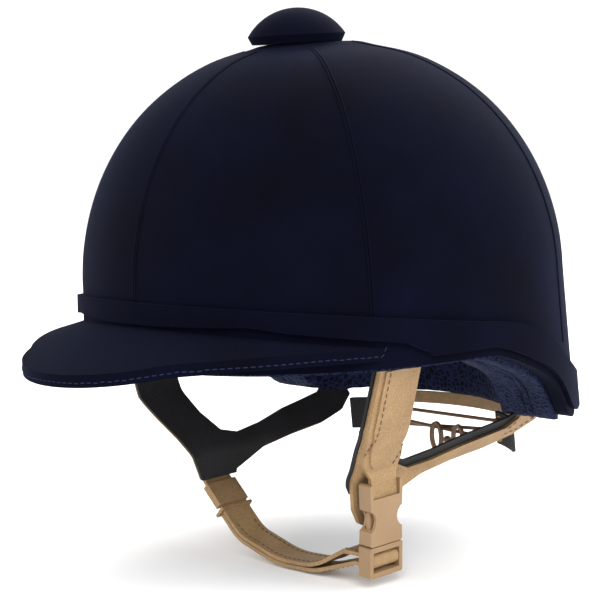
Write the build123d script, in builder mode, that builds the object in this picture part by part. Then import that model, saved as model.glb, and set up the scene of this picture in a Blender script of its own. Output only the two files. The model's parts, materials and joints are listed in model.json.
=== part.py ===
"""Equestrian riding helmet: velvet-covered hard shell with a peak, a button and a leather harness.

Frame: +X forward (the peak), +Y the wearer's left, +Z up, millimetres.
The origin is the centre of the head opening, level with the rim above the ears.
"""
from build123d import *
import os
from math import atan2, cos, degrees, hypot, radians, sin, sqrt, tan

os.makedirs("parts", exist_ok=True)

# ---------------------------------------------------------------- driving dimensions
crown_radius = 124.5           # velvet surface at its widest level
crown_rise = 120.3             # widest level up to the top of the crown
widest_level = 27.2            # height of the widest level over the opening
cap_share = 0.996              # the crown is flat from this share of its rise, under the button
crown_power_up = 1.96          # shape of the crown's profile towards the top
crown_power_out = 2.31         # shape of the crown's profile towards the side
crown_flare = 0.046            # growth of the crown's radius per millimetre below the widest level
button_forward = 9.5           # the button and the gore seams meet this far forward
skirt_level = -82.0            # the crown's forms are drawn down to here, then trimmed

velvet_thickness = 1.2
shell_thickness = 3.0
liner_thickness = 15.8
comfort_thickness = 4.0
head_half_length = 98.0        # the opening inside the headband pad
head_half_width = 86.0
headband_top = 34.0            # the headband pad's upper edge
lining_drop = 7.0              # the lining hangs this far below the rim line
rim_binding_depth = 8.0        # the velvet binding turns this far in under the rim

band_proud = 3.0               # the hat band stands out of the crown
peak_reach = 178.0             # tip of the peak, from the origin
peak_back = 58.0               # where the peak's wings end, in front of the straps
peak_thickness = 6.0
peak_root_front = 16.5         # height of the peak's top where it meets the crown in front
peak_skin = 1.0
peak_roll = 3.0                # width of the rolled edge

button_radius = 25.0
button_height = 18.0
button_bulge = 4.0             # the button is widest at this height
button_tuck = 2.0              # and tucks in this much under it
screw_radius = 2.0
fit_gap = 0.35                 # clearance between pieces that move on each other

yoke_leather = 2.2
yoke_lining = 1.6
strap_leather = 2.0
facing_leather = 1.0
rivet_radius = 2.5

strap_centre = 32.0            # X of the chin strap and of the buckle
chin_strap_width = 20.0
buckle_strap_width = 17.6
buckle_width = 22.8
buckle_thickness = 8.0
buckle_left = 65.5             # Y of the buckle's middle
buckle_level = -92.0           # Z of the buckle's middle
keeper_travel = 5.0

lace_radius = 1.0
eyelet_radius = 2.2
eyelet_bore = 1.4
eyelet_side = 43.0             # Y of the eyelets, either side
lace_rows = [-61.0, -66.0, -71.0]

# ---------------------------------------------------------------- depths under the velvet surface
under_velvet = velvet_thickness
under_shell = under_velvet + shell_thickness
under_liner = under_shell + liner_thickness
under_comfort = under_liner + comfort_thickness
under_headband = crown_radius - head_half_width + 6
wide = 400.0                   # larger than the helmet, for cutting forms


# ---------------------------------------------------------------- forms of the crown
def crown_curve(depth):
    """Half profile of the crown above its widest level, a given depth under the velvet surface."""
    shares = (0, 0.25, 0.45, 0.62, 0.76, 0.87, 0.94, 0.98, cap_share)
    curve = []
    for share in shares:
        shape = (1 - share ** crown_power_up) ** (1 / crown_power_out)
        curve.append(((crown_radius - depth) * shape, widest_level + share * (crown_rise - depth)))
    return curve


def skirt_foot(depth):
    """Where the half profile ends below, flared a little past the widest level."""
    return crown_radius - depth + crown_flare * (widest_level - skirt_level), skirt_level


def crown_top(depth):
    """Height of the flat under the button, a given depth under the velvet surface."""
    return widest_level + cap_share * (crown_rise - depth)


def rim_points(drop):
    """Side view of the rim line, lowered by a drop: level in front, swept down behind the ears."""
    line = [(18, 0), (-4, -5), (-25, -14), (-42, -25), (-53, -37), (-68, -44.5)]
    return [(x, z - drop) for x, z in line]


def above_rim(drop=0.0):
    """Everything above the rim line, for trimming the crown's layers."""
    points = rim_points(drop)
    front = (wide, points[0][1])
    rear = (-wide, points[-1][1] - 10)
    with BuildPart() as keep:
        with BuildSketch(Plane.XZ):
            with BuildLine():
                Line(front, points[0])
                Spline(*points, tangents=[(-1, 0), (-1, -0.03)])
                Polyline(points[-1], rear, (-wide, wide), (wide, wide), front)
            make_face()
        extrude(amount=wide, both=True)
    return keep.part


def slab(low, high):
    """Everything between two levels."""
    with BuildPart() as keep:
        with BuildSketch(Plane.XY.offset(low)):
            Rectangle(2 * wide, 2 * wide)
        extrude(amount=high - low)
    return keep.part


def crown_ring(outer, inner):
    """Whole dome between two depths, before it is trimmed to the rim."""
    outside = crown_curve(outer)
    inside = crown_curve(inner)
    with BuildPart() as ring:
        with BuildSketch(Plane.XZ):
            with BuildLine():
                Line(skirt_foot(outer), outside[0])
                Spline(*outside, tangents=[(0, 1), (-1, 0)])
                Polyline(outside[-1], (0, outside[-1][1]), (0, inside[-1][1]), inside[-1])
                Spline(*inside, tangents=[(0, 1), (-1, 0)])
                Polyline(inside[0], skirt_foot(inner), skirt_foot(outer))
            make_face()
        revolve(axis=Axis.Z)
    return ring.part


def crown_layer(outer, inner, trims, cuts=()):
    """A layer of the crown between two depths, kept inside each trim and clear of each cut."""
    with BuildPart() as layer:
        add(crown_ring(outer, inner))
        for trim in trims:
            add(trim, mode=Mode.INTERSECT)
        for cut in cuts:
            add(cut, mode=Mode.SUBTRACT)
    return layer.part


def finish(name, part):
    """Label a finished piece and write it."""
    part.label = name
    export_step(part, f"parts/{name}.step")


# ---------------------------------------------------------------- routes of straps
def side_step(points, radii, shift):
    """A route moved sideways by a shift, to the left of its own direction, with its bends resized."""
    moved = []
    bends = []
    for i in range(len(points)):
        before = points[max(i - 1, 0)]
        here = points[i]
        after = points[min(i + 1, len(points) - 1)]
        ways = []
        for start, end in ((before, here), (here, after)):
            length = hypot(end[0] - start[0], end[1] - start[1])
            if length > 0:
                ways.append(((end[0] - start[0]) / length, (end[1] - start[1]) / length))
        first, last = ways[0], ways[-1]
        turn = atan2(first[0] * last[1] - first[1] * last[0], first[0] * last[0] + first[1] * last[1])
        normal = (-first[1], first[0])
        slip = shift * tan(turn / 2)
        moved.append((here[0] + shift * normal[0] - slip * first[0],
                      here[1] + shift * normal[1] - slip * first[1]))
        if 0 < i < len(points) - 1:
            bends.append(radii[i - 1] - (shift if turn > 0 else -shift))
    return moved, bends


def run(points, radii):
    """Draw a route: straight runs joined by tangent arcs."""
    if len(points) > 2:
        FilletPolyline(*points, radius=radii)
    else:
        Line(*points)


def strip(points, radii, thickness, x_low, x_high):
    """A strap of even thickness that follows a route in the YZ plane, between two X positions."""
    left, left_bends = side_step(points, radii, thickness / 2)
    right, right_bends = side_step(points, radii, -thickness / 2)
    with BuildPart() as strap:
        with BuildSketch(Plane.YZ.offset(x_low)):
            with BuildLine():
                run(left, left_bends)
                run(right, right_bends)
                Line(left[0], right[0])
                Line(left[-1], right[-1])
            make_face()
        extrude(amount=x_high - x_low)
    return strap.part


def side_view(points):
    """An outline seen from the side, as tall stuff across the whole width, for trimming straps."""
    with BuildPart() as outline:
        with BuildSketch(Plane.XZ):
            with BuildLine():
                Polyline(*points, close=True)
            make_face()
        extrude(amount=wide, both=True)
    return outline.part


def trimmed(solid, outline):
    """A strap cut to its outline."""
    with BuildPart() as piece:
        add(solid)
        add(outline, mode=Mode.INTERSECT)
        add(rivet_rods, mode=Mode.SUBTRACT)
    return piece.part


def mirrored(solid):
    """The same piece on the wearer's right."""
    with BuildPart() as piece:
        mirror(solid, about=Plane.XZ)
    return piece.part


# ---------------------------------------------------------------- rivets of the harness
rivet_places = [(43, 5), (-74.5, -40)]
with BuildPart() as rivets:
    for x, z in rivet_places:
        with BuildSketch(Plane.XZ):
            with Locations((x, z)):
                Circle(rivet_radius)
        extrude(amount=wide, both=True)
    add(crown_ring(under_velvet, under_liner), mode=Mode.INTERSECT)
rivet_rods = rivets.part

finish("harness_rivets", rivet_rods)

# ---------------------------------------------------------------- harness yokes, one each side
# The route is the line between the leather and its lining, from inside the rim down to the
# junction under the ear, and then on down.
yoke_route = [(101.5, 14.0), (84.0, -38.0), (59.0, -68.0), (53.5, -95.0)]
yoke_bends = [30.0, 12.0]
yoke_foot = -82.0              # lower edge of the right yoke, where the chin strap is sewn on
front_leg_front = [(53, 10), (53, 0), (59, -6), (59.5, -37), (55, -48), (49, -60), (45.5, -70), (43, yoke_foot)]
front_leg_back = [(8, -67), (20, -62), (29, -50), (33, -37), (33, 10)]
rear_leg_under = [(20, -81), (9, -77), (-4, -72.5), (-26, -69.5), (-50, -67.5), (-70, -63.5), (-83, -57)]
rear_leg_over = [(-83, -36), (-66, -36), (-66, -53), (-60, -58), (-45, -60), (-29, -62), (-8, -66)]
lining_front = [(53, 10), (53, 0), (60, -6), (60.5, -37), (56, -48), (50, -60), (46.5, -70), (44, yoke_foot)]
lining_back = [(10, -62), (21, -59), (28, -49), (32, -37), (33, -6), (33, 10)]
lining_under = [(19, -80), (8, -76), (-4, -71.5), (-26, -68.5), (-50, -66.5), (-70, -62.5), (-82, -56)]
lining_over = [(-82, -38), (-65, -38), (-64, -50), (-60, -52), (-45, -54), (-29, -56), (-8, -60)]
flap = [(43, -82), (38, -90), (30, -94), (24, -90), (20, -82)]
flap_lining = [(44, -74), (20, -74)]


def yoke_layer(low, high, front, under, over, back, foot):
    """One layer of a left yoke, between two distances outward from the route."""
    middle, bends = side_step(yoke_route, yoke_bends, (low + high) / 2)
    sheet = strip(middle, bends, high - low, -100, 80)
    return trimmed(sheet, side_view(front + foot + under + over + back))


left_yoke = yoke_layer(0, yoke_leather, front_leg_front[:-1], rear_leg_under, rear_leg_over,
                       front_leg_back, flap)
left_yoke_lining = yoke_layer(-yoke_lining, 0, lining_front[:-1], lining_under, lining_over,
                              lining_back, flap_lining)
right_yoke = mirrored(yoke_layer(0, yoke_leather, front_leg_front, rear_leg_under, rear_leg_over,
                                 front_leg_back, [(21, yoke_foot)]))
right_yoke_lining = mirrored(yoke_layer(-yoke_lining, 0, lining_front, lining_under, lining_over,
                                        lining_back, [(20, yoke_foot)]))
finish("left_yoke", left_yoke)
finish("left_yoke_lining", left_yoke_lining)
finish("right_yoke", right_yoke)
finish("right_yoke_lining", right_yoke_lining)

# ---------------------------------------------------------------- left front strap, to the buckle
hinge_side = -(yoke_route[2][0] + yoke_leather / 2 + 0.2
               + (yoke_foot - yoke_route[2][1]) * (yoke_route[3][0] - yoke_route[2][0])
               / (yoke_route[3][1] - yoke_route[2][1]))
hinge_level = yoke_foot - strap_leather / 2 - fit_gap
buckle_tilt = atan2(hinge_level - buckle_level, buckle_left - hinge_side)


def in_buckle(outward, up):
    """A point of the buckle's own frame, as (Y, Z): outward from the face, up along the buckle."""
    return (buckle_left + outward * cos(buckle_tilt) + up * sin(buckle_tilt),
            buckle_level - outward * sin(buckle_tilt) + up * cos(buckle_tilt))


buckle_top = 24.0              # ends of the horns, up along the buckle from its middle
front_plate_top = 16.5
socket_top = 11.5
mouth = -7.4                   # where the two halves of the buckle meet
strap_bar_up = 17.0
strap_bar_outward = -0.9
strap_bar_radius = 1.4
turn_radius = strap_bar_radius + fit_gap + strap_leather / 2
strap_clears_horns = -66.0     # above this level the strap widens

outer_route, outer_bends = side_step(yoke_route, yoke_bends, yoke_leather + strap_leather / 2)
leave_level = -62.0            # where the strap leaves the yoke and hangs down to the buckle
share = (leave_level - outer_route[1][1]) / (outer_route[2][1] - outer_route[1][1])
leave_point = (outer_route[1][0] + share * (outer_route[2][0] - outer_route[1][0]), leave_level)
strap_route = outer_route[:2] + [
    leave_point,
    in_buckle(strap_bar_outward + turn_radius, strap_bar_up - turn_radius),
    in_buckle(strap_bar_outward - turn_radius, strap_bar_up - turn_radius),
    in_buckle(strap_bar_outward - turn_radius, buckle_top - 2),
]
strap_bends = [outer_bends[0], 8.0, turn_radius - 0.5, turn_radius - 0.5]
strap_half = buckle_strap_width / 2
strap_front_edge = [(53, 9), (53, 0), (61, -6), (60.5, -37), (56, -48), (50, -57), (43, -63),
                    (strap_centre + strap_half, strap_clears_horns)]
strap_back_edge = [(strap_centre - strap_half, strap_clears_horns), (22.8, -61), (25, -55),
                   (30, -48), (32, -37), (33, -6), (33, 9)]
strap_end = [(strap_centre + strap_half, -100), (strap_centre - strap_half, -100)]
left_front_strap = trimmed(strip(strap_route, strap_bends, strap_leather, 0, 80),
                           side_view(strap_front_edge + strap_end + strap_back_edge))
finish("left_front_strap", left_front_strap)

facing_route, facing_bends = side_step(strap_route[:4], strap_bends[:2],
                                       (strap_leather + facing_leather) / 2)
facing_outline = [(57.5, -7.5), (57.5, -37), (53, -48), (47, -56), (42, -60), (36, -61.5), (29, -60),
                  (26.5, -57), (32, -48), (35, -37), (36, -7.5)]
finish("left_strap_facing", trimmed(strip(facing_route, facing_bends, facing_leather, 0, 80),
                                    side_view(facing_outline)))

# ---------------------------------------------------------------- channels for the harness in the rim
front_channel_outline = [(53.4, 10.4), (53.4, 0), (62, -5.5), (62, -40), (31.5, -40), (31.5, -5.5),
                         (32.6, 2), (32.6, 10.4)]
rear_channel_outline = [(-84.5, -34.5), (-58, -34.5), (-58, -70), (-84.5, -70)]


def channel(low, high, outline):
    """Room for a strap inside the rim, between two distances outward from the yoke's route."""
    middle, bends = side_step(yoke_route, yoke_bends, (low + high) / 2)
    return trimmed(strip(middle, bends, high - low, -100, 80), side_view(outline))


left_front_channel = channel(-yoke_lining - fit_gap, yoke_leather + strap_leather + fit_gap,
                             front_channel_outline)
left_rear_channel = channel(-yoke_lining - fit_gap, yoke_leather + fit_gap, rear_channel_outline)
channels = [left_front_channel, left_rear_channel, mirrored(left_front_channel),
            mirrored(left_rear_channel)]

# ---------------------------------------------------------------- crown
with BuildPart() as bore:
    with BuildSketch(Plane.XY.offset(crown_top(wide / 10))):
        with Locations((button_forward, 0)):
            Circle(screw_radius)
    extrude(amount=wide)
screw_bore = bore.part

rim = above_rim()
velvet = crown_layer(0, under_velvet, [rim], [screw_bore])
gore_names = ["front_left_gore", "left_side_gore", "rear_left_gore",
              "rear_right_gore", "right_side_gore", "front_right_gore"]
gore_angle = 360 / len(gore_names)
for i, name in enumerate(gore_names):
    with BuildPart() as gore:
        with BuildSketch():
            with Locations((button_forward, 0)):
                with BuildLine():
                    start = Vector(wide, 0).rotate(Axis.Z, i * gore_angle)
                    end = Vector(wide, 0).rotate(Axis.Z, (i + 1) * gore_angle)
                    Polyline((0, 0), (start.X, start.Y), (end.X, end.Y), close=True)
                make_face()
        extrude(amount=wide, both=True)
        add(velvet, mode=Mode.INTERSECT)
    finish(name, gore.part)

outer_shell = crown_layer(under_velvet, under_shell, [rim], [screw_bore, rivet_rods])
finish("outer_shell", outer_shell)

with BuildPart() as recess:
    with BuildSketch(Plane.XY.offset(crown_top(under_shell) - 5)):
        with Locations((button_forward, 0)):
            Circle(7.2)
    extrude(amount=wide)
finish("eps_liner", crown_layer(under_shell, under_liner, [rim], [recess.part, rivet_rods] + channels))

hanging = above_rim(lining_drop)
finish("comfort_lining", crown_layer(under_liner, under_comfort, [hanging], channels + [rivet_rods]))
with BuildPart() as head_opening:
    with BuildSketch(Plane.XY.offset(skirt_level)):
        Ellipse(head_half_length, head_half_width)
    extrude(amount=wide)
finish("headband_pad", crown_layer(under_comfort, under_headband,
                                   [hanging, slab(skirt_level, headband_top)],
                                   [head_opening.part] + channels))
finish("rim_binding", crown_layer(0, rim_binding_depth, [above_rim(4.0)], [rim] + channels))
finish("rim_lining", crown_layer(rim_binding_depth, under_liner, [hanging], [rim] + channels))

# ---------------------------------------------------------------- hat band
band_top_front = [(wide, 10.1 + 0.1437 * wide), (0, 10.1)]
band_top_rear = [(0, 10.1), (-23, 3), (-39, -6), (-55, -16.5), (-75, -26), (-100, -30)]
band_foot = [(wide, 18), (110, 18), (98, 14.5), (72, 9.6), (57, 7), (48, 2), (38, -8)]
with BuildPart() as band_side:
    with BuildSketch(Plane.XZ):
        with BuildLine():
            Line(*band_top_front)
            Spline(*band_top_rear, tangents=[(-1, -0.1437), (-1, -0.05)])
            Polyline(band_top_rear[-1], (-wide, -31), (-wide, -wide), (38, -wide), band_foot[-1])
            Polyline(*band_foot)
            Line(band_foot[0], band_top_front[0])
        make_face()
    extrude(amount=wide, both=True)
finish("hat_band", crown_layer(-band_proud, 0, [band_side.part, rim]))

# ---------------------------------------------------------------- peak
wing_half = 109.0
cheek = (150.0, 52.0)          # where the tip's arc meets the side's
side_middle = (112.0, 86.0)
peak_slope = 0.27              # fall of the peak's top per millimetre away from its centre


def outline_sketch(inset=0.0):
    """The peak's plan outline, closed straight across behind."""
    with BuildSketch() as sketch:
        with BuildLine():
            ThreePointArc((cheek[0], -cheek[1]), (peak_reach, 0), cheek)
            ThreePointArc(cheek, side_middle, (peak_back, wing_half))
            Line((peak_back, wing_half), (peak_back, -wing_half))
            ThreePointArc((peak_back, -wing_half), (side_middle[0], -side_middle[1]),
                          (cheek[0], -cheek[1]))
        make_face()
        if inset > 0:
            offset(amount=-inset)
    return sketch.sketch


def peak_form():
    """Broad cone under the peak's sloping top, about the middle of the line between its wings."""
    rim_of_cone = 140.0
    root = crown_radius - peak_back
    centre_level = peak_root_front + peak_slope * root
    with BuildPart() as form:
        with BuildSketch(Plane.XZ):
            with BuildLine():
                Polyline((0, centre_level), (rim_of_cone, centre_level - peak_slope * rim_of_cone),
                         (rim_of_cone, -100), (0, -100), close=True)
            make_face()
        revolve(axis=Axis.Z)
    return form.part.moved(Location((peak_back, 0, 0)))


with BuildPart() as crown_foot:
    with BuildSketch(Plane.XZ):
        with BuildLine():
            foot = skirt_foot(0)
            Polyline((0, foot[1]), foot, (crown_radius, widest_level), (0, 2 * widest_level), close=True)
        make_face()
    revolve(axis=Axis.Z)
peak_block = peak_form()
peak_drops = (0, peak_skin, peak_thickness - peak_skin, peak_thickness)
peak_forms = [peak_block.moved(Location((0, 0, -drop))) for drop in peak_drops]


def peak_layer(top, bottom, outer, inner):
    """A piece of the peak: between two of its forms, and between two insets from its outline."""
    with BuildPart() as layer:
        with BuildSketch(Plane.XY.offset(-50)):
            add(outline_sketch(outer))
            if inner:
                add(outline_sketch(inner), mode=Mode.SUBTRACT)
        extrude(amount=100)
        add(peak_forms[top], mode=Mode.INTERSECT)
        add(peak_forms[bottom], mode=Mode.SUBTRACT)
        add(crown_foot.part, mode=Mode.SUBTRACT)
    return layer.part


finish("peak_edge_roll", peak_layer(0, 3, 0, peak_roll))
finish("peak_velvet", peak_layer(0, 1, peak_roll, 0))
finish("peak_core", peak_layer(1, 2, peak_roll, 0))
finish("peak_underlining", peak_layer(2, 3, peak_roll, 0))

# ---------------------------------------------------------------- button on top
button_base = crown_top(0)


def button_solid(skin):
    """The button's dome, drawn in by a skin thickness all round."""
    radius = button_radius - skin
    top = button_height - skin
    rise = top - button_bulge
    bow = (radius ** 2 + rise ** 2) / (2 * rise)
    turn = atan2(radius, bow - rise) / 2
    halfway = (bow * sin(turn), top - bow + bow * cos(turn))
    with BuildPart() as dome:
        with BuildSketch(Plane.XZ):
            with BuildLine():
                Line((0, top), (0, skin))
                Line((0, skin), (radius - button_tuck, skin))
                Line((radius - button_tuck, skin), (radius, button_bulge))
                ThreePointArc((radius, button_bulge), halfway, (0, top))
            make_face()
        revolve(axis=Axis.Z)
    return dome.part.moved(Location((button_forward, 0, button_base)))


washer_top = crown_top(under_shell)
washer_thickness = 1.0
head_height = 2.5
with BuildPart() as screw:
    with BuildSketch(Plane.XY.offset(washer_top - washer_thickness - head_height)):
        with Locations((button_forward, 0)):
            Circle(4)
    extrude(amount=head_height)
    with BuildSketch(Plane.XY.offset(washer_top - washer_thickness)):
        with Locations((button_forward, 0)):
            Circle(screw_radius)
    extrude(amount=button_base + 12 - washer_top + washer_thickness)
    with BuildSketch(Plane.XY.offset(washer_top - washer_thickness - head_height)):
        with Locations((button_forward, 0)):
            Rectangle(5, 1)
            Rectangle(1, 5)
    extrude(amount=1.2, mode=Mode.SUBTRACT)
finish("button_screw", screw.part)

with BuildPart() as washer:
    with BuildSketch(Plane.XY.offset(washer_top - washer_thickness)):
        with Locations((button_forward, 0)):
            Circle(6.5)
            Circle(screw_radius, mode=Mode.SUBTRACT)
    extrude(amount=washer_thickness)
finish("button_washer", washer.part)

with BuildPart() as bare_core:
    add(button_solid(velvet_thickness))
    with BuildSketch(Plane.XY.offset(button_base)):
        with Locations((button_forward, 0)):
            Circle(button_radius - 3 * button_tuck)
    extrude(amount=2 * velvet_thickness)

with BuildPart() as button_core:
    add(bare_core.part)
    add(screw.part, mode=Mode.SUBTRACT)
finish("button_core", button_core.part)

with BuildPart() as button_velvet:
    add(button_solid(0))
    add(bare_core.part, mode=Mode.SUBTRACT)
finish("button_velvet", button_velvet.part)

# ---------------------------------------------------------------- nape: leather band, tabs and lace
nape_low = slab(-61, -54.2)
with BuildPart() as nape_half:
    with BuildSketch(Plane.XY.offset(-100)):
        with Locations((-80, 0)):
            Rectangle(wide, 110, align=(Align.MAX, Align.CENTER))
    extrude(amount=wide)
finish("nape_band", crown_layer(21.0, 23.0, [nape_low, nape_half.part]))

tab_thickness = 2.0
tab_depth = 30.0
for side, name in ((1, "left_nape_tab"), (-1, "right_nape_tab")):
    with BuildPart() as tab:
        with BuildSketch(Plane.XY.offset(lace_rows[-1] - 4)):
            with Locations((-60, side * 49.5)):
                Rectangle(60, 22, align=(Align.MAX, Align.CENTER))
        extrude(amount=lace_rows[0] - lace_rows[-1] + 8)
        add(crown_ring(tab_depth, tab_depth + tab_thickness), mode=Mode.INTERSECT)
        for row in lace_rows:
            with BuildSketch(Plane.YZ.offset(-wide / 2)):
                with Locations((side * eyelet_side, row)):
                    Circle(eyelet_radius)
            extrude(amount=wide / 2, mode=Mode.SUBTRACT)
    finish(name, tab.part)

eyelet_middle = -sqrt((skirt_foot(tab_depth + 1)[0]) ** 2 - eyelet_side ** 2)
with BuildPart() as eyelets:
    for side in (1, -1):
        for row in lace_rows:
            with BuildSketch(Plane.YZ.offset(eyelet_middle - 2.4)):
                with Locations((side * eyelet_side, row)):
                    Circle(eyelet_radius)
                    Circle(eyelet_bore, mode=Mode.SUBTRACT)
            extrude(amount=4.8)
finish("lace_eyelets", eyelets.part)

lace_runs = [(lace_rows[0], lace_rows[0], 4.8), (lace_rows[1], lace_rows[2], 4.8),
             (lace_rows[2], lace_rows[1], 7.4)]
with BuildPart() as lace:
    for left_row, right_row, inward in lace_runs:
        with BuildLine() as lace_line:
            FilletPolyline((eyelet_middle - 1, eyelet_side, left_row),
                           (eyelet_middle + inward, eyelet_side, left_row),
                           (eyelet_middle + inward, -eyelet_side, right_row),
                           (eyelet_middle - 1, -eyelet_side, right_row), radius=3.5)
        with BuildSketch(Plane(origin=lace_line.line @ 0, z_dir=lace_line.line % 0)):
            Circle(lace_radius)
        sweep(path=lace_line.line)
finish("nape_lace", lace.part)

knot_place = (eyelet_middle + 10.6, 12.0, -74.0)
with BuildPart() as bow:
    with Locations(knot_place):
        Sphere(2.2)
    for side in (1, -1):
        loop_place = (knot_place[0], knot_place[1] + side * 8, knot_place[2] + 1)
        with BuildSketch(Plane(origin=loop_place, z_dir=(1, 0, 0))):
            Ellipse(8.5, 4.5)
            Ellipse(8.5 - 2 * lace_radius, 4.5 - 2 * lace_radius, mode=Mode.SUBTRACT)
        extrude(amount=lace_radius, both=True)
        end_place = (knot_place[0], knot_place[1] + side * 4, knot_place[2] - 8)
        with BuildLine() as bow_end:
            Line(knot_place, end_place)
        with BuildSketch(Plane(origin=knot_place, z_dir=bow_end.line % 0)):
            Circle(lace_radius)
        sweep(path=bow_end.line)
finish("lace_bow", bow.part)

# ---------------------------------------------------------------- side-release buckle
buckle_half = buckle_width / 2
buckle_plane = Plane(origin=(strap_centre, buckle_left, buckle_level), x_dir=(-1, 0, 0),
                     z_dir=(0, cos(buckle_tilt), -sin(buckle_tilt)))
socket_half = 9.2              # half width inside the socket
socket_deep = 4.6              # and its thickness
window_radius = 5.8
window_side = 13.2
window_up = 5.4
buckle_round = 1.2


def plate(outline, low, high):
    """A flat form on the buckle's plane, between two distances out from its middle."""
    with BuildPart() as form:
        with BuildSketch(buckle_plane.offset(low)):
            with BuildLine():
                Polyline(*outline, close=True)
            make_face()
        extrude(amount=high - low)
    return form.part


def block(left, right, low, high, inner, outer):
    """A rectangular form on the buckle's plane."""
    return plate([(left, low), (right, low), (right, high), (left, high)], inner, outer)


with BuildPart() as buckle_female:
    half = buckle_thickness / 2
    add(plate([(-buckle_half + 0.2, mouth), (buckle_half - 0.2, mouth), (buckle_half - 0.8, 5.4),
               (buckle_half + 0.2, buckle_top), (-buckle_half - 0.2, buckle_top),
               (-buckle_half + 0.8, 5.4)], -half, half))
    fillet(buckle_female.edges().group_by(SortBy.LENGTH)[0], buckle_round)
    add(block(-socket_half, socket_half, mouth - 1, socket_top, -socket_deep / 2, socket_deep / 2),
        mode=Mode.SUBTRACT)
    add(block(-strap_half - 0.4, strap_half + 0.4, socket_top + 1.2, buckle_top + 1, -half - 1, 3.0),
        mode=Mode.SUBTRACT)
    add(block(-strap_half - 0.4, strap_half + 0.4, front_plate_top, buckle_top + 1, 2.5, half + 1),
        mode=Mode.SUBTRACT)
    with BuildSketch(buckle_plane.offset(-half - 1)):
        with Locations((window_side, window_up), (-window_side, window_up)):
            Circle(window_radius)
    extrude(amount=buckle_thickness + 2, mode=Mode.SUBTRACT)
    with BuildSketch(Plane(origin=buckle_plane.origin, x_dir=buckle_plane.y_dir,
                           z_dir=buckle_plane.x_dir).offset(-strap_half - 1)):
        with Locations((strap_bar_up, strap_bar_outward)):
            Circle(strap_bar_radius)
    extrude(amount=2 * strap_half + 2)
finish("buckle_female", buckle_female.part)

frame_top = mouth - 0.5
frame_foot = -23.5
window_top = -10.6
window_foot = -20.8
ladder_up = -15.6              # the bar that the chin strap goes round
ladder_radius = 1.5
root_half = 7.5
root_top = -4.4
prong_side = 7.2
prong_up = -5.4
prong_root = 1.3
prong_thick = 2.6
guide_half = 1.8
cross_plane = Plane(origin=buckle_plane.origin, x_dir=buckle_plane.y_dir, z_dir=buckle_plane.x_dir)
with BuildPart() as buckle_male:
    add(block(-buckle_half, buckle_half, frame_foot, frame_top, -half, half))
    fillet(buckle_male.edges().group_by(SortBy.LENGTH)[0], buckle_round)
    add(block(-strap_half - 0.3, strap_half + 0.3, window_foot, window_top, -half - 1, half + 1),
        mode=Mode.SUBTRACT)
    add(block(-root_half, root_half, frame_top - 1, root_top, -1.5, 1.5))
    add(block(-guide_half, guide_half, root_top - 1, 9.0, -prong_thick / 2, prong_thick / 2))
    with BuildSketch(cross_plane.offset(-strap_half - 1)):
        with Locations((ladder_up, 0)):
            Circle(ladder_radius)
    extrude(amount=2 * strap_half + 2)
    with BuildSketch(buckle_plane.offset(-1.6)):
        with Locations((prong_side, prong_up), (-prong_side, prong_up)):
            Circle(prong_root + fit_gap)
    extrude(amount=3.2, mode=Mode.SUBTRACT)
finish("buckle_male", buckle_male.part)

prong_outline = [(6.2, -5.4), (6.4, 1.0), (6.6, 9.5), (7.4, 11.0), (8.2, 11.0), (9.0, 8.6), (9.0, 0.6),
                 (8.2, -0.6), (8.2, -5.4)]
for side, name in ((-1, "buckle_prong_front"), (1, "buckle_prong_rear")):
    with BuildPart() as prong:
        add(plate([(side * x, up) for x, up in prong_outline], -prong_thick / 2, prong_thick / 2))
        with BuildSketch(buckle_plane.offset(-prong_thick / 2)):
            with Locations((side * prong_side, prong_up)):
                Circle(prong_root)
        extrude(amount=prong_thick)
    finish(name, prong.part)

# ---------------------------------------------------------------- chin strap, sleeve and keeper
strap_turn = ladder_radius + 0.3 + strap_leather / 2
layer_step = strap_leather + 0.4
strap_main = [(hinge_side, hinge_level), (-31.5, -109.0), (-2.0, -117.5), (25.0, -116.5),
              (47.0, -105.0), in_buckle(strap_turn, ladder_up + strap_turn)]
strap_bends_main = [22.0, 60.0, 40.0, 9.0]
below_main, below_bends = side_step(strap_main, strap_bends_main, -layer_step)
tail_return = in_buckle(-9.0, ladder_up - strap_turn)
strap_loop = [in_buckle(strap_turn, ladder_up - strap_turn), tail_return]
direction = Vector(strap_main[1][0] - strap_main[0][0], strap_main[1][1] - strap_main[0][1]).normalized()


def along_strap(distance, below=0.0):
    """A point on the first straight run of the chin strap, and below it by a distance."""
    return (strap_main[0][0] + distance * direction.X + below * direction.Y,
            strap_main[0][1] + distance * direction.Y - below * direction.X)


sleeve_start = 3.0
sleeve_end = 17.0
tail_end = 17.8
ring_start = 19.0
ring_width = 1.5
chin_route = strap_main + strap_loop + [below_main[3], below_main[2], below_main[1],
                                        along_strap(tail_end, layer_step)]
chin_bends = strap_bends_main + [strap_turn - 0.5, strap_turn - 0.5, 4.0, below_bends[2] - 6,
                                 below_bends[1], below_bends[0]]
chin_low = strap_centre - strap_half
chin_high = strap_centre + strap_half
with BuildPart() as chin_strap:
    add(strip(chin_route, chin_bends, strap_leather, chin_low, chin_high))
    with BuildSketch(Plane.YZ.offset(chin_low)):
        with Locations(strap_main[0]):
            Circle(strap_leather / 2)
    extrude(amount=chin_high - chin_low)
finish("chin_strap", chin_strap.part)

sleeve_leather = 1.2
with BuildPart() as sleeve:
    add(strip([along_strap(sleeve_start), along_strap(sleeve_end)], [],
              strap_leather + 2 * sleeve_leather, chin_low - sleeve_leather, chin_high + sleeve_leather))
    add(strip([along_strap(sleeve_start - 1), along_strap(sleeve_end + 1)], [], strap_leather,
              chin_low, chin_high), mode=Mode.SUBTRACT)
finish("strap_sleeve", sleeve.part)

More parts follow.
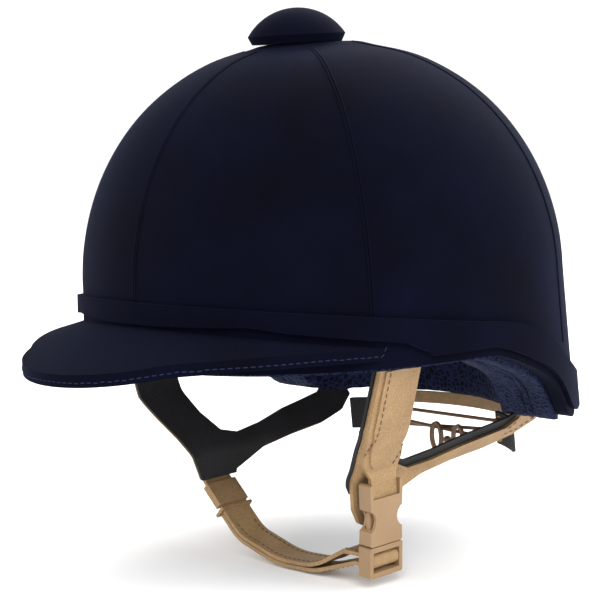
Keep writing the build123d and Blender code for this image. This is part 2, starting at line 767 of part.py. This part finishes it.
ring_bar = 1.3
ring_inner = layer_step + strap_leather + 2 * fit_gap
ring_line = [along_strap(ring_start, layer_step / 2), along_strap(ring_start + ring_width, layer_step / 2)]
ring_clear = [along_strap(ring_start - 1, layer_step / 2),
              along_strap(ring_start + ring_width + 1, layer_step / 2)]
with BuildPart() as ring:
    add(strip(ring_line, [], ring_inner + 2 * ring_bar, chin_low - fit_gap - ring_bar,
              chin_high + fit_gap + ring_bar))
    add(strip(ring_clear, [], ring_inner, chin_low - fit_gap, chin_high + fit_gap), mode=Mode.SUBTRACT)
finish("keeper_ring", ring.part)
print("chin strap hinge", strap_centre, hinge_side, hinge_level, "keeper way", direction.X, direction.Y)
print("prong pivots", [(strap_centre - side * prong_side,) + in_buckle(0, prong_up) for side in (-1, 1)])
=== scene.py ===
# %% [markdown]
# # A velvet riding helmet
# A riding helmet is a hard plastic shell over a foam liner. The shell is covered with six
# velvet gores that meet under a button, and it is held on by a tan leather harness.
# The hard shapes come from the CAD frame. Here each surface gets a finish, and the
# stitches, the velvet's seam lines and the lining's mesh are made as real geometry or bump.

# %% Load the frame
import json
import math

import bmesh
import bpy
from mathutils import Matrix, Vector


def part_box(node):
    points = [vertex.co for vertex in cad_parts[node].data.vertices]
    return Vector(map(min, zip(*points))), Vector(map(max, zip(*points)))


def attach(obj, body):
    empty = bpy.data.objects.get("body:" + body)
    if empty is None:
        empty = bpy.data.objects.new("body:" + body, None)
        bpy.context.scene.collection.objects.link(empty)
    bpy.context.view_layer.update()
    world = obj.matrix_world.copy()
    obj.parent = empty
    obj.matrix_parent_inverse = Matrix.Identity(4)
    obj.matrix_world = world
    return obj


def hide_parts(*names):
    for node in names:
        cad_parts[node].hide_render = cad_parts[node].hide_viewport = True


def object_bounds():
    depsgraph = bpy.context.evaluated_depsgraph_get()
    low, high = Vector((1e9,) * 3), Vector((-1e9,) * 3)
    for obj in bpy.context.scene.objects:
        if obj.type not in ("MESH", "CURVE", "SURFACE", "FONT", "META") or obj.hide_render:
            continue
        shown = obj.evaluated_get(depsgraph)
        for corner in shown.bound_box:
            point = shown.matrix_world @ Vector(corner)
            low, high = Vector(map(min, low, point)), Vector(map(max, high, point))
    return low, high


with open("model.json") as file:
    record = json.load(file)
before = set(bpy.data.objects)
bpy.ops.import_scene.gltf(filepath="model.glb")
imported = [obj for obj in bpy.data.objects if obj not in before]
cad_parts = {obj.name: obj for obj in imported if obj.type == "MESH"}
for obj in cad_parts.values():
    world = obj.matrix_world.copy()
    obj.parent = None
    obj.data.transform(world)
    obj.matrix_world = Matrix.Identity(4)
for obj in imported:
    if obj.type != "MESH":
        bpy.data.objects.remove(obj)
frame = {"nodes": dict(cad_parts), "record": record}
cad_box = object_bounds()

low, high = Vector(cad_box[0]), Vector(cad_box[1])
print("the helmet is", [round(c, 3) for c in high - low], "m")

# %% [markdown]
# The camera comes first. It stands off the front left at about eye level, nearly a metre
# away, with a long lens so that the crown stays round. A slight roll leans the helmet.

# %% The camera
AZIMUTH, ELEVATION, ROLL = math.radians(46.1), math.radians(2.95), math.radians(3.0)
DISTANCE = 0.932
LENS = 107.5
target = Vector((0.0, 0.0, 0.0854))
outward = Vector((math.cos(AZIMUTH) * math.cos(ELEVATION),
                  math.sin(AZIMUTH) * math.cos(ELEVATION), math.sin(ELEVATION)))
right = Vector((-math.sin(AZIMUTH), math.cos(AZIMUTH), 0.0))
up = outward.cross(right)
turned_right = math.cos(ROLL) * right - math.sin(ROLL) * up
turned_up = math.sin(ROLL) * right + math.cos(ROLL) * up
camera_data = bpy.data.cameras.new("camera")
camera_data.lens = LENS
camera_data.sensor_width = 36.0
camera = bpy.data.objects.new("camera", camera_data)
bpy.context.scene.collection.objects.link(camera)
# The lens points a little below and left of the target, so that the whole helmet is framed.
AIM_RIGHT, AIM_DOWN = 0.0092, 0.0768
backward = (outward + AIM_RIGHT * turned_right + AIM_DOWN * turned_up).normalized()
sideways = turned_up.cross(backward).normalized()
camera.matrix_world = Matrix.Translation(target + DISTANCE * outward) @ Matrix((
    sideways, backward.cross(sideways), backward)).transposed().to_4x4()
bpy.context.scene.camera = camera
print("camera at", [round(c, 3) for c in camera.matrix_world.translation])

# %% [markdown]
# Shader maths reads best as plain expressions, so a small class wraps a socket and makes
# a Math node for each operator. Any other node comes from one method.


# %% A small shader language
class Sock:
    """A shader socket that does arithmetic by adding Math nodes."""

    def __init__(self, tree, socket):
        self.tree = tree
        self.socket = socket

    def math(self, operation, other=None, swap=False):
        node = self.tree.nodes.new("ShaderNodeMath")
        node.operation = operation
        values = [self, other] if not swap else [other, self]
        for place, value in enumerate(values):
            if isinstance(value, Sock):
                self.tree.links.new(value.socket, node.inputs[place])
            elif value is not None:
                node.inputs[place].default_value = value
        return Sock(self.tree, node.outputs[0])

    def __add__(self, other):
        return self.math("ADD", other)

    __radd__ = __add__

    def __sub__(self, other):
        return self.math("SUBTRACT", other)

    def __rsub__(self, other):
        return self.math("SUBTRACT", other, swap=True)

    def __mul__(self, other):
        return self.math("MULTIPLY", other)

    __rmul__ = __mul__


class Finish:
    """A material whose nodes are added one at a time."""

    def __init__(self, name, **constants):
        self.material = bpy.data.materials.new(name)
        self.material.use_nodes = True
        self.tree = self.material.node_tree
        self.shader = self.tree.nodes["Principled BSDF"]
        for key, value in constants.items():
            self.shader.inputs[key.replace("_", " ")].default_value = value
        self.place = self.node("ShaderNodeTexCoord", out="Object")

    def node(self, kind, settings=None, out=0, **inputs):
        node = self.tree.nodes.new(kind)
        for key, value in (settings or {}).items():
            setattr(node, key, value)
        for key, value in inputs.items():
            socket = node.inputs[key.replace("_", " ")]
            if isinstance(value, Sock):
                self.tree.links.new(value.socket, socket)
            else:
                socket.default_value = value
        return Sock(self.tree, node.outputs[out])

    def noise(self, scale, detail=3.0):
        return self.node("ShaderNodeTexNoise", Vector=self.place, Scale=scale, Detail=detail)

    def cells(self, scale):
        return self.node("ShaderNodeTexVoronoi", {"feature": "DISTANCE_TO_EDGE"}, out="Distance",
                         Vector=self.place, Scale=scale)

    def mix(self, share, first, second):
        node = self.tree.nodes.new("ShaderNodeMix")
        node.data_type = "RGBA"
        self.tree.links.new(share.socket, node.inputs["Factor"])
        for socket, colour in ((node.inputs[6], first), (node.inputs[7], second)):
            socket.default_value = (*colour, 1.0)
        return Sock(self.tree, node.outputs[2])

    def colour(self, value):
        self.tree.links.new(value.socket, self.shader.inputs["Base Color"])

    def roughness(self, value):
        self.tree.links.new(value.socket, self.shader.inputs["Roughness"])

    def bump(self, height, distance, strength=1.0):
        normal = self.node("ShaderNodeBump", Height=height, Distance=distance, Strength=strength)
        self.tree.links.new(normal.socket, self.shader.inputs["Normal"])

    def ramp(self, value, low_end, high_end):
        return self.node("ShaderNodeMapRange", {"clamp": True}, Value=value,
                         From_Min=low_end, From_Max=high_end)


# %% [markdown]
# Velvet is a dense pile of upright cotton hairs. Seen straight on it swallows light and
# looks almost black, and at a grazing angle the hair tips catch it and glow blue. The
# shader's sheen does that, with a fine grain for the pile and a broad one for where it was
# brushed one way or the other.

# %% Velvet
PILE_GRAIN = 2600.0
BRUSHED_PATCHES = 22.0
velvet = Finish("navy_velvet", Roughness=0.95, Sheen_Weight=0.06, Sheen_Roughness=0.3,
                Sheen_Tint=(0.16, 0.24, 0.60, 1.0), Specular_IOR_Level=0.06)
brushed = velvet.noise(BRUSHED_PATCHES, 4.0)
pile = velvet.noise(PILE_GRAIN, 2.0)
shade = velvet.ramp(0.65 * brushed + 0.35 * pile, 0.35, 0.68)
velvet.colour(velvet.mix(shade, (0.0003, 0.0005, 0.0028), (0.0013, 0.0020, 0.0095)))
velvet.bump(pile + 1.6 * brushed, 0.0005, 0.5)

# %% [markdown]
# The lining is a knitted mesh over thin foam: rows of small holes like honeycomb. The
# cells come from a Voronoi texture whose edges are the threads.

# %% Mesh lining
MESH_SCALE = 330.0
mesh = Finish("navy_mesh", Roughness=0.85, Sheen_Weight=0.04, Specular_IOR_Level=0.1,
              Sheen_Tint=(0.2, 0.3, 0.7, 1.0))
thread = mesh.ramp(mesh.cells(MESH_SCALE), 0.02, 0.22)
mesh.colour(mesh.mix(thread, (0.010, 0.015, 0.048), (0.0015, 0.002, 0.008)))
mesh.bump(1.0 - thread, 0.0006, 0.9)

cloth = Finish("navy_cloth", Roughness=0.85, Sheen_Weight=0.04, Specular_IOR_Level=0.1)
weave = cloth.noise(1800.0, 2.0)
cloth.colour(cloth.mix(weave, (0.004, 0.005, 0.016), (0.012, 0.015, 0.045)))
cloth.bump(weave, 0.0003, 0.6)

# %% [markdown]
# The harness is tan bridle leather with a fine grain, a little darker where it was
# handled. Its inner faces are black suede, and the nape lace is a darker brown thong.


# %% Leathers
def leather_finish(name, dark, light, rough, grain=900.0):
    """A grained leather between two tones."""
    hide = Finish(name, Specular_IOR_Level=0.35)
    pores = hide.ramp(hide.cells(grain), 0.0, 0.3)
    handled = hide.noise(45.0, 5.0)
    fibre = hide.noise(700.0, 3.0)
    tone = hide.ramp(0.55 * handled + 0.3 * fibre + 0.15 * pores, 0.3, 0.7)
    hide.colour(hide.mix(tone, dark, light))
    hide.roughness(rough + 0.18 * fibre)
    hide.bump(pores + 0.8 * fibre, 0.0003, 0.55)
    return hide


leather = leather_finish("tan_leather", (0.20, 0.118, 0.050), (0.39, 0.245, 0.115), 0.48)
suede = leather_finish("black_suede", (0.006, 0.006, 0.007), (0.022, 0.022, 0.025), 0.75)
thong = leather_finish("brown_thong", (0.085, 0.045, 0.022), (0.20, 0.115, 0.058), 0.45)
print("leathers", [hide.material.name for hide in (leather, suede, thong)])

# %% [markdown]
# The buckle is moulded in tan plastic with a satin spark-eroded surface. The foam is a
# mass of fused beads, and the metal parts are plated or aged.

# %% Plastics, foam, wood and metals
plastic = Finish("tan_plastic", Specular_IOR_Level=0.45)
erosion = plastic.noise(1500.0, 3.0)
cloud = plastic.noise(60.0, 3.0)
plastic.colour(plastic.mix(cloud, (0.215, 0.128, 0.060), (0.29, 0.18, 0.09)))
plastic.roughness(0.34 + 0.14 * erosion)
plastic.bump(erosion, 0.00015, 0.5)


def simple_finish(name, dark, light, scale, depth, **constants):
    """A two-tone surface with a fine grain."""
    surface = Finish(name, **constants)
    grain = surface.noise(scale, 4.0)
    surface.colour(surface.mix(grain, dark, light))
    surface.bump(grain, depth, 0.5)
    return surface


shell = simple_finish("black_shell", (0.012, 0.012, 0.014), (0.03, 0.03, 0.034), 900, 0.0002, Roughness=0.5)
foam = simple_finish("bead_foam", (0.7, 0.7, 0.68), (0.88, 0.88, 0.86), 350, 0.0005, Roughness=0.9)
board = simple_finish("stiff_board", (0.02, 0.02, 0.022), (0.05, 0.05, 0.055), 500, 0.0002, Roughness=0.7)
wood = simple_finish("turned_wood", (0.35, 0.24, 0.14), (0.55, 0.42, 0.28), 120, 0.0003, Roughness=0.6)
steel = simple_finish("plated_steel", (0.5, 0.5, 0.52), (0.66, 0.66, 0.68), 800, 0.0001,
                      Roughness=0.3, Metallic=1.0)
brass = simple_finish("aged_brass", (0.2, 0.13, 0.05), (0.45, 0.32, 0.15), 600, 0.0001,
                      Roughness=0.4, Metallic=1.0)

# %% [markdown]
# Each CAD node keeps its shape and takes the finish of its material slot.

# %% Finishes on the CAD nodes
FINISHES = {"velvet": velvet, "abs": shell, "eps": foam, "mesh": mesh, "lining_cloth": cloth,
            "board": board, "steel": steel, "brass": brass, "wood": wood, "leather": leather,
            "suede": suede, "lace": thong, "buckle": plastic}
for row in frame["record"]["subparts"]:
    node = frame["nodes"][row["node"]]
    node.data.materials.clear()
    node.data.materials.append(FINISHES[row["material_slot"]].material)
print(len(frame["nodes"]), "nodes finished")

# %% [markdown]
# Waxed thread holds the leather and the peak's edge. Each stitch is a short bead of
# thread lying along the seam. Geometry Nodes sets one at each step along a seam's line,
# turned to follow it, so that one tree serves every seam.

# %% Thread
waxed = simple_finish("waxed_thread", (0.055, 0.03, 0.014), (0.12, 0.07, 0.033), 2500, 0.0001,
                      Roughness=0.6)
navy_thread = simple_finish("navy_thread", (0.006, 0.008, 0.022), (0.018, 0.024, 0.06), 2500, 0.0001,
                            Roughness=0.9, Specular_IOR_Level=0.05)


def stitch_tree(name, thread_material):
    """A tree that lays stitches along a curve."""
    tree = bpy.data.node_groups.new(name, "GeometryNodeTree")
    face = tree.interface
    face.new_socket("Geometry", in_out="INPUT", socket_type="NodeSocketGeometry")
    for title, value in (("Pitch", 0.0034), ("Stitch length", 0.0026), ("Thread radius", 0.00036)):
        face.new_socket(title, in_out="INPUT", socket_type="NodeSocketFloat").default_value = value
    face.new_socket("Geometry", in_out="OUTPUT", socket_type="NodeSocketGeometry")
    add = tree.nodes.new
    link = tree.links.new
    start, end = add("NodeGroupInput"), add("NodeGroupOutput")
    points = add("GeometryNodeCurveToPoints")
    points.mode = "LENGTH"
    link(start.outputs["Geometry"], points.inputs["Curve"])
    link(start.outputs["Pitch"], points.inputs["Length"])
    bead = add("GeometryNodeMeshUVSphere")
    bead.inputs["Segments"].default_value = 6
    bead.inputs["Rings"].default_value = 5
    bead.inputs["Radius"].default_value = 1.0
    half = add("ShaderNodeMath")
    half.operation = "MULTIPLY"
    half.inputs[1].default_value = 0.5
    link(start.outputs["Stitch length"], half.inputs[0])
    size = add("ShaderNodeCombineXYZ")
    link(start.outputs["Thread radius"], size.inputs["X"])
    link(start.outputs["Thread radius"], size.inputs["Y"])
    link(half.outputs[0], size.inputs["Z"])
    turn = add("FunctionNodeAlignRotationToVector")
    turn.axis = "Z"
    link(points.outputs["Tangent"], turn.inputs["Vector"])
    place = add("GeometryNodeInstanceOnPoints")
    link(points.outputs["Points"], place.inputs["Points"])
    link(bead.outputs["Mesh"], place.inputs["Instance"])
    link(turn.outputs["Rotation"], place.inputs["Rotation"])
    link(size.outputs["Vector"], place.inputs["Scale"])
    real = add("GeometryNodeRealizeInstances")
    link(place.outputs["Instances"], real.inputs["Geometry"])
    paint = add("GeometryNodeSetMaterial")
    paint.inputs["Material"].default_value = thread_material
    link(real.outputs["Geometry"], paint.inputs["Geometry"])
    link(paint.outputs["Geometry"], end.inputs["Geometry"])
    return tree


def seam_curve(name, lines):
    """A curve object with one smooth run per line of points."""
    curve = bpy.data.curves.new(name, "CURVE")
    curve.dimensions = "3D"
    for line in lines:
        run = curve.splines.new("POLY")
        run.points.add(len(line) - 1)
        for point, spot in zip(run.points, line):
            point.co = (*spot, 1.0)
    seam = bpy.data.objects.new(name, curve)
    bpy.context.scene.collection.objects.link(seam)
    return seam


def stitches(name, lines, body, tree):
    """Stitches along some lines, as one piece on a body."""
    seam = seam_curve(name + "_seam", lines)
    modifier = seam.modifiers.new("stitches", "NODES")
    modifier.node_group = tree
    bpy.context.view_layer.update()
    evaluated = seam.evaluated_get(bpy.context.evaluated_depsgraph_get())
    baked = bpy.data.meshes.new_from_object(evaluated)
    bpy.data.objects.remove(seam)
    piece = bpy.data.objects.new(name, baked)
    bpy.context.scene.collection.objects.link(piece)
    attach(piece, body)
    print(name, len(baked.polygons), "faces")
    return piece


tan_stitch = stitch_tree("tan_stitching", waxed.material)
navy_stitch = stitch_tree("navy_stitching", navy_thread.material)

# %% [markdown]
# The seams are found on the parts themselves. A ray is dropped on a node's surface from
# outside at each step of the line, and the stitch lies where the ray lands. This keeps
# every stitch on the leather however the CAD shape changes.

# %% Finding a seam on a surface
from mathutils.bvhtree import BVHTree


def surface_of(*names):
    """One search tree over some nodes' faces."""
    gathered = bmesh.new()
    for name in names:
        gathered.from_mesh(frame["nodes"][name].data)
    found = BVHTree.FromBMesh(gathered)
    gathered.free()
    return found


def landed(tree, starts, way, lift):
    """Where rays from some starts land, as unbroken lines lifted off the surface."""
    lines, line = [], []
    for start in starts:
        spot = tree.ray_cast(Vector(start), Vector(way))[0]
        if spot is None:
            if len(line) > 2:
                lines.append(line)
            line = []
        else:
            line.append(spot - Vector(way).normalized() * lift)
    if len(line) > 2:
        lines.append(line)
    return lines


# %% [markdown]
# Each strap has two rows of stitches, close to its edges. The left front strap hangs
# down from the rim, so its rows run down its outer face.

# %% Stitches on the left front strap
LIFT = 0.0001
EDGE_INSET = 0.0028
LINE_STEP = 0.001
END_MARGIN = 0.002
OUTSIDE = 0.05
strap_low, strap_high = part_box("left_strap_facing")
facing = surface_of("left_strap_facing", "left_front_strap")
rows = []
for x in (strap_low.x + EDGE_INSET, strap_high.x - EDGE_INSET):
    heights = [strap_high.z - END_MARGIN - LINE_STEP * k
               for k in range(int((strap_high.z - strap_low.z - 2 * END_MARGIN) / LINE_STEP))]
    rows += landed(facing, [(x, high.y + OUTSIDE, z) for z in heights], (0, -1, 0), LIFT)
stitches("left_strap_stitches", rows, "helmet", tan_stitch)

# %% [markdown]
# The yokes and the chin strap are stitched in the same way. For a yoke, a column of rays
# is dropped at each step along it, and the rows run a little inside the first and last
# ray that land.

# %% Stitches on the yokes and the chin strap
RAY_STEP = 0.0006


def edge_rows(node, side, reach):
    """Two rows of stitch points inside the edges of a yoke's rear leg, seen from one side."""
    tree = surface_of(node)
    box_low, box_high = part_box(node)
    lower, upper = [], []
    for k in range(int((reach[1] - reach[0]) / LINE_STEP)):
        x = reach[0] + LINE_STEP * k
        hits = []
        for n in range(int((box_high.z - box_low.z) / RAY_STEP)):
            start = Vector((x, side * (high.y + OUTSIDE), box_low.z + RAY_STEP * n))
            spot = tree.ray_cast(start, Vector((0, -side, 0)))[0]
            if spot is not None:
                hits.append(spot + Vector((0, side * LIFT, 0)))
        inset = int(1.25 * EDGE_INSET / RAY_STEP)
        if len(hits) > 3 * inset:
            lower.append(hits[inset])
            upper.append(hits[-inset])
    return [row for row in (lower, upper) if len(row) > 2]


yoke_low, yoke_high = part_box("left_yoke")
REAR_LEG = (yoke_low.x + 0.004, yoke_low.x + 0.6 * (yoke_high.x - yoke_low.x))
for side_name, side in (("left", 1), ("right", -1)):
    rows = edge_rows(side_name + "_yoke", side, REAR_LEG)
    stitches(side_name + "_yoke_stitches", rows, "helmet", tan_stitch)

chin_low, chin_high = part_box("chin_strap")
chin = surface_of("chin_strap")
KEEPER_CLEARANCE = 0.006
STRAP_END = 0.006
keeper_low, keeper_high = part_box("keeper_ring")
free_y = [chin_low.y + STRAP_END + LINE_STEP * k
          for k in range(int((chin_high.y - chin_low.y - 2 * STRAP_END) / LINE_STEP))]
free_runs = [[y for y in free_y if y < keeper_low.y - KEEPER_CLEARANCE],
             [y for y in free_y if y > keeper_high.y + KEEPER_CLEARANCE]]
for title, height, way in (("under", chin_low.z - 0.02, 1), ("over", chin_high.z + 0.02, -1)):
    rows = []
    for x in (chin_low.x + EDGE_INSET, chin_high.x - EDGE_INSET):
        for run in free_runs:
            rows += landed(chin, [(x, y, height) for y in run], (0, 0, way), LIFT)
    stitches("chin_strap_stitches_" + title, rows, "chin_strap", tan_stitch)

# %% [markdown]
# The gores meet in six seams that run from the button to the rim. On the real helmet the
# two turned edges lie side by side under the pile, so a seam shows as a fine double ridge.
# Rays land on the crown along each seam's plane, and a thin tube follows them each side.

# %% Gore seams
SEAM_OFFSET, SEAM_RADIUS = 0.0007, 0.00065
SEAM_STEPS, FIRST_LEAN, LEAN_STEP = 101, 12, 0.86
FAR_OUT = 0.3
button_low, button_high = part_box("button_velvet")
crown_axis = 0.5 * (button_low + button_high)
gores = surface_of("front_left_gore", "left_side_gore", "rear_left_gore", "rear_right_gore",
                   "right_side_gore", "front_right_gore")
rim_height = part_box("hat_band")[0].z
ridges = []
for seam in range(6):
    angle = math.radians(60 * seam)
    away = Vector((math.cos(angle), math.sin(angle), 0.0))
    aside = Vector((-away.y, away.x, 0.0))
    for offset in (-SEAM_OFFSET, SEAM_OFFSET):
        ridge = []
        for k in range(SEAM_STEPS):
            lean = math.radians(FIRST_LEAN + LEAN_STEP * k)
            way = math.sin(lean) * away + Vector((0, 0, math.cos(lean)))
            centre = Vector((crown_axis.x, 0, 0.01)) + offset * aside
            spot = gores.ray_cast(centre + FAR_OUT * way, -way)[0]
            if spot is not None and spot.z > rim_height:
                ridge.append(spot - 0.25 * SEAM_RADIUS * way)
        if len(ridge) > 2:
            ridges.append(ridge)
ridge_curve = seam_curve("gore_seams_line", ridges)
ridge_curve.data.bevel_depth = SEAM_RADIUS
ridge_curve.data.bevel_resolution = 1
ridge_curve.data.use_fill_caps = True
bpy.context.view_layer.update()
ridge_mesh = bpy.data.meshes.new_from_object(
    ridge_curve.evaluated_get(bpy.context.evaluated_depsgraph_get()))
bpy.data.objects.remove(ridge_curve)
ridge_mesh.materials.clear()
ridge_mesh.materials.append(velvet.material)
gore_seams = bpy.data.objects.new("gore_seams", ridge_mesh)
bpy.context.scene.collection.objects.link(gore_seams)
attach(gore_seams, "helmet")
print("gore seams", len(ridges), "ridges,", len(ridge_mesh.polygons), "faces")

# %% [markdown]
# The headband pad and the rim lining are soft: foam under knitted mesh. Their CAD solids
# give the space they fill. Each is copied, its corners are melted together and relaxed a
# little, and the copy is shown in place of the hidden CAD solid.

# %% Soft pads
MELT = 0.00002


def soft_copy(node, name, material, rounds):
    """A relaxed copy of a CAD solid that stands for it."""
    source = frame["nodes"][node]
    shape = bmesh.new()
    shape.from_mesh(source.data)
    bmesh.ops.remove_doubles(shape, verts=shape.verts, dist=MELT)
    for _ in range(rounds):
        bmesh.ops.smooth_vert(shape, verts=shape.verts, factor=0.25, use_axis_x=True,
                              use_axis_y=True, use_axis_z=True)
    soft = bpy.data.meshes.new(name)
    shape.to_mesh(soft)
    shape.free()
    soft.materials.append(material)
    for polygon in soft.polygons:
        polygon.use_smooth = True
    piece = bpy.data.objects.new(name, soft)
    bpy.context.scene.collection.objects.link(piece)
    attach(piece, "helmet")
    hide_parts(node)
    print(name, len(soft.polygons), "faces")
    return piece


soft_copy("headband_pad", "headband_cushion", mesh.material, 1)
soft_copy("rim_lining", "rim_lining_padding", mesh.material, 1)
soft_copy("comfort_lining", "comfort_lining_padding", mesh.material, 1)

# %% [markdown]
# The peak is stitched just inside its rolled edge. The line follows the roll's own
# outline: rays come in towards the peak from all round and land on the roll.

# %% Stitches on the peak's edge
roll_low, roll_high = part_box("peak_edge_roll")
roll = surface_of("peak_edge_roll")
centre = Vector((0.058, 0.0, 0.0))
ROLL_STEP, WIDEST_TURN, FACING = 0.0005, 88, 0.2
edge = []
for k in range(-WIDEST_TURN, WIDEST_TURN + 1):
    angle = math.radians(k)
    away = Vector((math.cos(angle), math.sin(angle), 0.0))
    column = []
    for z in [roll_low.z + ROLL_STEP * n
              for n in range(int((roll_high.z - roll_low.z) / ROLL_STEP))]:
        spot, normal, _, _ = roll.ray_cast(centre + FAR_OUT * away + Vector((0, 0, z)), -away)
        if spot is not None and normal.dot(away) > FACING:
            column.append(spot + LIFT * away)
    if column:
        edge.append(column[len(column) // 3])
stitches("peak_edge_stitches", [edge], "helmet", navy_stitch)

# %% [markdown]
# Soft studio light: a large key above the camera, a fill from the other side and a rim
# light from behind, so that the velvet's sheen draws the crown's edge.


# %% Light and floor
def area_light(name, spot, size, power):
    """A square soft light aimed at the helmet."""
    data = bpy.data.lights.new(name, "AREA")
    data.size = size
    data.energy = power
    light = bpy.data.objects.new(name, data)
    bpy.context.scene.collection.objects.link(light)
    light.location = spot
    light.rotation_euler = (Vector((0, 0, 0.03)) - Vector(spot)).to_track_quat("-Z", "Y").to_euler()
    return light


area_light("key", (0.9, 1.2, 1.3), 1.0, 22.0)
area_light("fill", (1.5, -0.6, 0.6), 1.2, 9.0)
area_light("back", (-1.2, -0.4, 1.2), 1.0, 24.0)
area_light("side", (-0.6, 1.5, 0.5), 0.9, 14.0)
world = bpy.data.worlds.new("studio")
bpy.context.scene.world = world
world.use_nodes = True
world.node_tree.nodes["Background"].inputs["Color"].default_value = (1.0, 1.0, 1.0, 1.0)
world.node_tree.nodes["Background"].inputs["Strength"].default_value = 1.12
bpy.context.scene.view_settings.view_transform = "Standard"

FLOOR_HALF = 60.0
floor_mesh = bpy.data.meshes.new("floor")
floor_height = low.z - 0.001
floor_mesh.from_pydata([(-FLOOR_HALF, -FLOOR_HALF, floor_height), (FLOOR_HALF, -FLOOR_HALF, floor_height),
                        (FLOOR_HALF, FLOOR_HALF, floor_height), (-FLOOR_HALF, FLOOR_HALF, floor_height)],
                       [], [(0, 1, 2, 3)])
floor = bpy.data.objects.new("floor", floor_mesh)
bpy.context.scene.collection.objects.link(floor)
pale = simple_finish("pale_floor", (0.92, 0.92, 0.92), (0.95, 0.95, 0.95), 3, 0.0001, Roughness=0.9)
floor_mesh.materials.append(pale.material)
